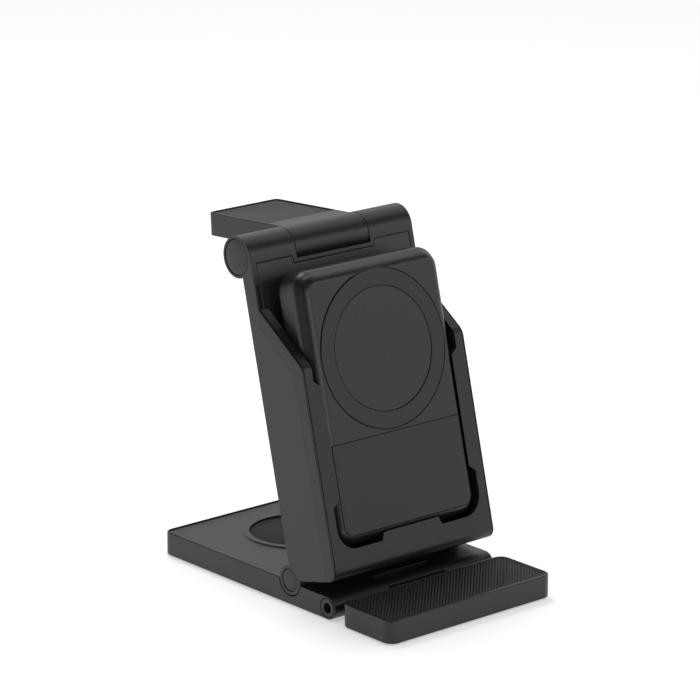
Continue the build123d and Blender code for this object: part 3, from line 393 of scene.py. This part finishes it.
def key_screw(bm, foot, top, detail):
    """A screw that stands on its head at foot, with a six-sided hole for a key, and ends at top."""
    up = Vector((0, 0, 1))
    out = Vector((1, 0, 0))
    edge = detail.cap_edge
    shoulder = foot + up * detail.screw_head_height
    rim = foot + out * (detail.screw_head - edge)
    points = [
        rim,
        foot + out * detail.screw_head + up * edge,
        shoulder + out * detail.screw_head,
        shoulder + out * detail.screw_shank,
        top + out * detail.screw_shank - up * edge,
        top + out * (detail.screw_shank - edge),
        top,
    ]
    spin_profile(bm, points, foot, up, detail.key_steps)
    hole = bmesh.ops.create_circle(
        bm, segments=6, radius=detail.screw_key, matrix=Matrix.Translation(foot),
    )["verts"]
    mouth = list({line for vert in hole for line in vert.link_edges})
    rim_radius = (rim - foot).length
    ring = [
        line for line in bm.edges
        if all(abs((vert.co - foot).length - rim_radius) < touching for vert in line.verts)
    ]
    bmesh.ops.bridge_loops(bm, edges=ring + mouth)
    walls = bmesh.ops.extrude_edge_only(bm, edges=mouth)["geom"]
    floor = [item for item in walls if isinstance(item, bmesh.types.BMVert)]
    key_depth = detail.screw_head_height * 0.6
    bmesh.ops.translate(bm, vec=up * key_depth, verts=floor)
    bmesh.ops.contextual_create(bm, geom=floor)


class CHARGER_OT_base(Operator):
    """Finishes the base, its lid and the disc for the earbuds"""

    bl_idname = "charger.base"
    bl_label = "Base"

    def execute(self, context):
        finish = context.scene.charger_finish
        detail = context.scene.charger_detail
        grain = finish.grain_size
        depth = finish.grain_depth
        shell = shell_plastic("base_plastic", finish.shell_colour, finish)
        lid = moulded_plastic(
            "base_lid_plastic", finish.shell_colour, grain, depth, roughness=(0.36, 0.46), gloss=0.52,
        )
        bush = moulded_plastic(
            "bush_plastic", finish.rim_colour, grain * 0.6, depth * 0.5, roughness=(0.34, 0.42),
        )
        sheet = moulded_plastic(
            "disc_sheet", finish.inlay_colour, grain * 0.8, depth, roughness=(0.6, 0.7), gloss=0.22,
        )
        dress(shell, "base_shell")
        dress(lid, "base_lid")
        low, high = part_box("front_bushes")
        middle = (low + high) / 2
        radius = (high.z - low.z) / 2 - detail.seam_gap
        bm = bmesh.new()
        for side in (-1, 1):
            front = Vector((side * high.x, middle.y, middle.z))
            back = front - Vector((side * detail.bush_length, 0, 0))
            out = Vector((0, 0, 1))
            inward = Vector((-side, 0, 0))
            points = [
                front + out * detail.bush_hole + inward * detail.cap_edge,
                front + out * (detail.bush_hole + detail.cap_edge),
                front + out * (radius - detail.cap_edge),
                front + out * radius + inward * detail.cap_edge,
                back + out * radius,
                back + out * detail.bush_hole,
                front + out * detail.bush_hole + inward * detail.cap_edge,
            ]
            spin_profile(bm, points, middle, Vector((1, 0, 0)), detail.smooth_steps)
        finish_piece(bm, "bush_rings", "base", "caps", bush, "front_bushes")
        low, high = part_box("earbud_pad")
        middle = (low + high) / 2
        bm = bmesh.new()
        center = Vector((middle.x, middle.y, high.z))
        radius = (high.x - low.x) / 2
        crowned_cap(bm, center, Vector((0, 0, 1)), radius, high.z - low.z, detail)
        finish_piece(bm, "earbud_disc", "base", "inlay", sheet, "earbud_pad")
        return {"FINISHED"}


class CHARGER_OT_upright(Operator):
    """Finishes the upright, its front frame, inset plate, dock and end caps"""

    bl_idname = "charger.upright"
    bl_label = "Upright"

    def execute(self, context):
        finish = context.scene.charger_finish
        detail = context.scene.charger_detail
        grain = finish.grain_size
        depth = finish.grain_depth
        shell = shell_plastic("upright_plastic", finish.shell_colour, finish)
        rim = moulded_plastic(
            "rim_plastic", finish.rim_colour, grain, depth, roughness=(0.32, 0.4), gloss=0.42,
        )
        # The plate, dock pad and screws get the shell plastic painted lighter, which lifts the shade that
        # the power bank casts on them.
        plate = shell_plastic("plate_plastic_lifted_from_shade", finish.plate_colour_lifted_from_shade, finish)
        caps = moulded_plastic(
            "cap_plastic", finish.rim_colour, grain * 0.6, depth * 0.5, roughness=(0.36, 0.44),
        )
        dress(shell, "arm_rear_shell")
        dress(rim, "arm_bezel")
        dress(plate, "arm_front_plate", "dock_pad", "arm_screws")
        for node, thickness in (("barrel_caps", 0.0012), ("hinge_caps", 0.001)):
            low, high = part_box(node)
            middle = (low + high) / 2
            radius = (high.z - low.z) / 2
            bm = bmesh.new()
            for side in (-1, 1):
                center = Vector((side * high.x, middle.y, middle.z))
                outward = Vector((side, 0, 0))
                crowned_cap(bm, center, outward, radius - detail.seam_gap, thickness, detail)
            finish_piece(bm, node + "_crowned", "arm", "caps", caps, node)
        return {"FINISHED"}


class CHARGER_OT_wing(Operator):
    """Finishes the wing that a watch lies on"""

    bl_idname = "charger.wing"
    bl_label = "Wing"

    def execute(self, context):
        finish = context.scene.charger_finish
        grain = finish.grain_size
        depth = finish.grain_depth
        shell = shell_plastic("wing_plastic", finish.shell_colour, finish)
        lid = moulded_plastic(
            "wing_lid_plastic", finish.shell_colour, grain, depth, roughness=(0.42, 0.52), gloss=0.26,
        )
        dress(shell, "wing_shell")
        dress(lid, "wing_lid")
        return {"FINISHED"}


def one_rib(length, detail):
    """A bar with a rounded crest along X, its crest at the origin's height."""
    bm = bmesh.new()
    # The foot of the bar is sunk into the bed.
    height = detail.rib_height * 1.2
    bmesh.ops.create_cube(bm, size=1)
    bmesh.ops.scale(bm, vec=(length, detail.rib_width, height), verts=bm.verts)
    bmesh.ops.translate(bm, vec=(0, 0, -height / 2), verts=bm.verts)
    crest = [
        edge for edge in bm.edges
        if min(vert.co.z for vert in edge.verts) > -height / 2
        and abs(edge.verts[0].co.x - edge.verts[1].co.x) > length / 2
    ]
    bmesh.ops.bevel(
        bm, geom=crest, offset=detail.rib_round, affect="EDGES", segments=2, profile=0.5, material=-1,
    )
    return bm


def lay_ribs(size, middle, top, detail):
    """Slanting ribs over a pad of the given size and middle, cut off at the pad's frame."""
    reach = size.y / sin(detail.rib_turn)
    lean = size.y / tan(detail.rib_turn)
    count = int((size.x + lean) / detail.rib_pitch)
    # Each bar is longer than it needs to be, and is cut off below.
    ribs = one_rib(reach * 1.2, detail)
    turn = Matrix.Rotation(detail.rib_turn, 3, "Z")
    bmesh.ops.rotate(ribs, cent=(0, 0, 0), matrix=turn, verts=ribs.verts)
    first = Vector((middle.x - count * detail.rib_pitch / 2, middle.y, top))
    bmesh.ops.translate(ribs, vec=first, verts=ribs.verts)
    rib = ribs.verts[:] + ribs.edges[:] + ribs.faces[:]
    for step in range(count):
        rib = bmesh.ops.duplicate(ribs, geom=rib)["geom"]
        points = [item for item in rib if isinstance(item, bmesh.types.BMVert)]
        bmesh.ops.translate(ribs, vec=(detail.rib_pitch, 0, 0), verts=points)
    corner = Vector((size.x / 2 - detail.pad_corner, size.y / 2 - detail.pad_corner))
    corner_radius = detail.pad_corner - detail.pad_frame
    cuts = 16
    for side in range(cuts):
        angle = 2 * side * pi / cuts
        outward = Vector((cos(angle), sin(angle), 0))
        across = abs(outward.x) * corner.x + abs(outward.y) * corner.y + corner_radius
        cut = bmesh.ops.bisect_plane(
            ribs, geom=ribs.verts[:] + ribs.edges[:] + ribs.faces[:], dist=touching,
            plane_co=Vector((middle.x, middle.y, top)) + outward * across, plane_no=outward,
            clear_outer=True,
        )
        rims = [item for item in cut["geom_cut"] if isinstance(item, bmesh.types.BMEdge)]
        bmesh.ops.holes_fill(ribs, edges=rims, sides=0)
    mesh = bpy.data.meshes.new("ribs")
    ribs.to_mesh(mesh)
    ribs.free()
    return mesh


class CHARGER_OT_shelf(Operator):
    """Finishes the shelf, its ribbed rubber pad and the rubber under the object"""

    bl_idname = "charger.shelf"
    bl_label = "Shelf"

    def execute(self, context):
        finish = context.scene.charger_finish
        detail = context.scene.charger_detail
        grain = finish.grain_size
        depth = finish.grain_depth
        shell = shell_plastic("shelf_plastic", finish.shell_colour, finish)
        rubber = moulded_plastic(
            "rubber", finish.rubber_colour, grain * 0.7, depth, roughness=(0.55, 0.7),
        )
        dress(shell, "shelf_tray", "shelf_cover")
        dress(rubber, "shelf_foot", "base_sole")
        low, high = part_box("shelf_pad")
        size = high - low
        middle = (low + high) / 2
        bm = bmesh.new()
        bmesh.ops.create_cube(bm, size=1)
        bmesh.ops.scale(bm, vec=size, verts=bm.verts)
        bmesh.ops.translate(bm, vec=middle, verts=bm.verts)
        upright = [
            edge for edge in bm.edges if abs(edge.verts[0].co.z - edge.verts[1].co.z) > touching
        ]
        bmesh.ops.bevel(
            bm, geom=upright, offset=detail.pad_corner, affect="EDGES",
            segments=10, profile=0.5, material=-1,
        )
        field = [face for face in bm.faces if face.normal.z > 0.9]
        bmesh.ops.inset_region(bm, faces=field, thickness=detail.pad_frame)
        bmesh.ops.inset_region(bm, faces=field, thickness=wall_slant, depth=-detail.rib_height)
        ribs = lay_ribs(size, middle, high.z, detail)
        bm.from_mesh(ribs)
        bpy.data.meshes.remove(ribs)
        finish_piece(bm, "ribbed_pad", "shelf", "pad", rubber, "shelf_pad")
        return {"FINISHED"}


class CHARGER_OT_power_bank(Operator):
    """Finishes the power bank with its ring and lower panel"""

    bl_idname = "charger.power_bank"
    bl_label = "Power bank"

    def execute(self, context):
        finish = context.scene.charger_finish
        grain = finish.grain_size
        depth = finish.grain_depth
        case = shell_plastic("bank_plastic", finish.bank_colour, finish)
        sheet = moulded_plastic(
            "inlay_sheet", finish.inlay_colour, grain * 0.5, depth * 0.3, roughness=(0.42, 0.48),
        )
        dress(case, "bank_case", "bank_cover")
        dress(sheet, "bank_ring", "bank_panel")
        return {"FINISHED"}


class CHARGER_OT_insides(Operator):
    """Finishes the shafts, screws, sockets and the parts inside"""

    bl_idname = "charger.insides"
    bl_label = "Insides"

    def execute(self, context):
        detail = context.scene.charger_detail
        steel = ground_metal("ground_steel", (0.5, 0.5, 0.51), lowest=0.28, highest=0.4)
        nickel = ground_metal("plated_magnet", (0.6, 0.6, 0.58), lowest=0.2, highest=0.3)
        foil = ground_metal("cell_foil", (0.62, 0.63, 0.65), lowest=0.35, highest=0.5)
        copper = wound_copper("coil_wire", (0.7, 0.36, 0.18))
        ferrite = moulded_plastic(
            "ferrite_sheet", (0.09, 0.09, 0.095), grain=0.0005, depth=0.00002,
            roughness=(0.6, 0.75), gloss=0.3,
        )
        board = circuit_board("board_lacquer", (0.03, 0.16, 0.08))
        black = ground_metal("blackened_steel", (0.03, 0.03, 0.032), lowest=0.35, highest=0.5)
        dress(steel, "hinge_shaft", "front_pin", "wing_shaft", "base_socket", "bank_socket")
        low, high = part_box("base_screws")
        bm = bmesh.new()
        for x in (low.x + detail.screw_head, high.x - detail.screw_head):
            for y in (low.y + detail.screw_head, high.y - detail.screw_head):
                key_screw(bm, Vector((x, y, low.z)), Vector((x, y, high.z)), detail)
        finish_piece(bm, "key_screws", "base", "steel", black, "base_screws")
        dress(nickel, "dock_magnets", "watch_magnet", "bank_magnets")
        dress(foil, "bank_cell")
        dress(copper, "base_coil", "dock_coil", "watch_coil", "bank_coil", "bank_rear_coil")
        dress(ferrite, "base_ferrite", "dock_ferrite", "bank_ferrite")
        dress(board, "base_board", "arm_board", "dock_board", "watch_board", "bank_board")
        return {"FINISHED"}


def aim_along(direction):
    """Turn that points an object's view along a direction."""
    return direction.to_track_quat("-Z", "Y").to_euler()


def soft_light(name, place, aim, width, height, power):
    """A rectangular soft light at a place, turned to a point."""
    lamp = bpy.data.lights.new(name, "AREA")
    lamp.shape = "RECTANGLE"
    lamp.size = width
    lamp.size_y = height
    lamp.energy = power
    light = bpy.data.objects.new(name, lamp)
    light.location = place
    light.rotation_euler = aim_along(Vector(aim) - Vector(place))
    bpy.context.scene.collection.objects.link(light)


def dark_card(name, center, facing, width, height, material):
    """A black card that keeps light away from one side and that the camera does not see."""
    bm = bmesh.new()
    bmesh.ops.create_grid(bm, x_segments=1, y_segments=1, size=0.5)
    bmesh.ops.scale(bm, vec=(width, height, 1), verts=bm.verts)
    turn = Vector(facing).to_track_quat("Z", "Y").to_matrix()
    bmesh.ops.rotate(bm, cent=(0, 0, 0), matrix=turn, verts=bm.verts)
    bmesh.ops.translate(bm, vec=center, verts=bm.verts)
    mesh = bpy.data.meshes.new(name)
    bm.to_mesh(mesh)
    bm.free()
    mesh.materials.append(material)
    card = bpy.data.objects.new(name, mesh)
    card.visible_camera = False
    card.visible_diffuse = False
    card.visible_shadow = False
    bpy.context.scene.collection.objects.link(card)


def seen_directly(tree):
    """1 for what the camera sees, also in gloss and through clear material, and 0 for other light."""
    path = tree.nodes.new("ShaderNodeLightPath")
    direct = tree.nodes.new("ShaderNodeMath")
    direct.operation = "MAXIMUM"
    either = tree.nodes.new("ShaderNodeMath")
    either.operation = "MAXIMUM"
    tree.links.new(path.outputs["Is Camera Ray"], direct.inputs[0])
    tree.links.new(path.outputs["Is Glossy Ray"], direct.inputs[1])
    tree.links.new(direct.outputs["Value"], either.inputs[0])
    tree.links.new(path.outputs["Is Transmission Ray"], either.inputs[1])
    return either.outputs["Value"]


def place_camera(scene, studio):
    """The camera at the studio's angle and distance, looking at its aim."""
    around = cos(studio.elevation)
    toward = Vector(
        (sin(studio.azimuth) * around, -cos(studio.azimuth) * around, sin(studio.elevation))
    )
    lens = bpy.data.cameras.new("camera")
    lens.lens = studio.lens
    lens.sensor_width = 36
    camera = bpy.data.objects.new("camera", lens)
    camera.location = Vector(studio.aim) + toward * studio.distance
    camera.rotation_euler = aim_along(-toward)
    scene.collection.objects.link(camera)
    scene.camera = camera


def light_room(scene, studio):
    """A room that is white where it is seen and gives an even light at the studio's level."""
    world = bpy.data.worlds.new("studio")
    scene.world = world
    world.use_nodes = True
    tree = world.node_tree
    background = tree.nodes["Background"]
    background.inputs["Color"].default_value = (1, 1, 1, 1)
    level = tree.nodes.new("ShaderNodeMapRange")
    level.inputs["To Min"].default_value = studio.surround
    level.inputs["To Max"].default_value = 1
    tree.links.new(seen_directly(tree), level.inputs["Value"])
    tree.links.new(level.outputs["Result"], background.inputs["Strength"])


def lay_floor(scene, studio):
    """A sheet of white paper under the object, with a glow that only the camera and gloss see."""
    paper = bpy.data.materials.new("floor_paper")
    tree, shader, coordinates = link_nodes(paper, {"Roughness": 0.9, "Specular IOR Level": 0.1})
    cloud = add_noise(tree, coordinates, size=0.2, detail=2)
    vary_colour(tree, shader, cloud, (0.86, 0.86, 0.86), spread=0.005)
    shader.inputs["Emission Color"].default_value = (1, 1, 1, 1)
    glow = tree.nodes.new("ShaderNodeMapRange")
    glow.inputs["To Max"].default_value = 0.42
    tree.links.new(seen_directly(tree), glow.inputs["Value"])
    tree.links.new(glow.outputs["Result"], shader.inputs["Emission Strength"])
    bm = bmesh.new()
    bmesh.ops.create_grid(bm, x_segments=1, y_segments=1, size=4)
    bmesh.ops.translate(bm, vec=(0, 0, -studio.floor_gap), verts=bm.verts)
    mesh = bpy.data.meshes.new("floor")
    bm.to_mesh(mesh)
    bm.free()
    mesh.materials.append(paper)
    floor = bpy.data.objects.new("floor", mesh)
    scene.collection.objects.link(floor)


def hang_cards(aim):
    """Black cards that shape the gloss on the plastic."""
    black = bpy.data.materials.new("black_card")
    tree, shader, coordinates = link_nodes(black, {"Roughness": 0.9, "Specular IOR Level": 0.0})
    cloud = add_noise(tree, coordinates, size=0.05, detail=2)
    vary_colour(tree, shader, cloud, (0.02, 0.02, 0.02), spread=0.1)
    dark_card(
        "card_left", center=aim + Vector((-0.7, -0.36, 0.06)), facing=(0.88, 0.47, 0),
        width=0.8, height=0.9, material=black,
    )
    dark_card(
        "card_back", center=aim + Vector((0.74, 0.92, 0.19)), facing=(-0.63, -0.77, 0),
        width=1.0, height=0.13, material=black,
    )
    dark_card(
        "card_above", center=(-0.5, 0, 1.1), facing=(0, 0, -1),
        width=2.0, height=3.0, material=black,
    )
    dark_card(
        "card_front", center=(1.05, -0.9, 1.1), facing=(0, 0, -1),
        width=1.1, height=1.2, material=black,
    )


def hang_lights(aim, studio):
    """Four soft lights around the object, turned to the camera's aim."""
    soft_light(
        "light_above", place=aim + Vector((0.11, 0.47, 0.885)) * 0.95, aim=aim,
        width=0.3, height=0.3, power=studio.top_power,
    )
    soft_light(
        "light_right", place=aim + Vector((0.627, -0.7, 0.341)) * 1.1, aim=aim,
        width=0.4, height=0.16, power=studio.right_power,
    )
    soft_light(
        "light_front", place=aim + Vector((-0.2, -0.95, 0.12)) * 1.1, aim=aim,
        width=0.2, height=0.3, power=studio.front_power,
    )
    soft_light(
        "light_left", place=aim + Vector((-0.96, 0.23, 0.0)), aim=aim,
        width=0.2, height=0.16, power=studio.left_power,
    )


class CHARGER_OT_stage(Operator):
    """Sets up the floor, soft light and the camera"""

    bl_idname = "charger.stage"
    bl_label = "Stage"

    def execute(self, context):
        scene = context.scene
        studio = scene.charger_studio
        aim = Vector(studio.aim)
        scene.view_settings.view_transform = "Standard"
        place_camera(scene, studio)
        light_room(scene, studio)
        lay_floor(scene, studio)
        hang_cards(aim)
        hang_lights(aim, studio)
        return {"FINISHED"}


class CHARGER_PT_panel(Panel):
    """Lists the steps that finish the charger"""

    bl_label = "Charger"
    bl_idname = "CHARGER_PT_panel"
    bl_space_type = "VIEW_3D"
    bl_region_type = "UI"
    bl_category = "Charger"

    def draw(self, context):
        for step in steps:
            self.layout.operator(step.bl_idname)
        scene = context.scene
        for group in (scene.charger_finish, scene.charger_detail, scene.charger_studio):
            for name in group.__annotations__:
                self.layout.prop(group, name)


groups = (ChargerFinish, ChargerDetail, ChargerStudio)
steps = (
    CHARGER_OT_base,
    CHARGER_OT_upright,
    CHARGER_OT_wing,
    CHARGER_OT_shelf,
    CHARGER_OT_power_bank,
    CHARGER_OT_insides,
    CHARGER_OT_stage,
)


def register():
    """Adds the classes and the settings to Blender."""
    for item in groups + steps + (CHARGER_PT_panel,):
        bpy.utils.register_class(item)
    bpy.types.Scene.charger_finish = PointerProperty(type=ChargerFinish)
    bpy.types.Scene.charger_detail = PointerProperty(type=ChargerDetail)
    bpy.types.Scene.charger_studio = PointerProperty(type=ChargerStudio)


def unregister():
    """Takes the settings and the classes away again."""
    del bpy.types.Scene.charger_studio
    del bpy.types.Scene.charger_detail
    del bpy.types.Scene.charger_finish
    for item in reversed(groups + steps + (CHARGER_PT_panel,)):
        bpy.utils.unregister_class(item)


def main():
    """Finishes the charger step by step."""
    register()
    bpy.ops.charger.base()
    bpy.ops.charger.upright()
    bpy.ops.charger.wing()
    bpy.ops.charger.shelf()
    bpy.ops.charger.power_bank()
    bpy.ops.charger.insides()
    bpy.ops.charger.stage()


if __name__ == "__main__":
    main()
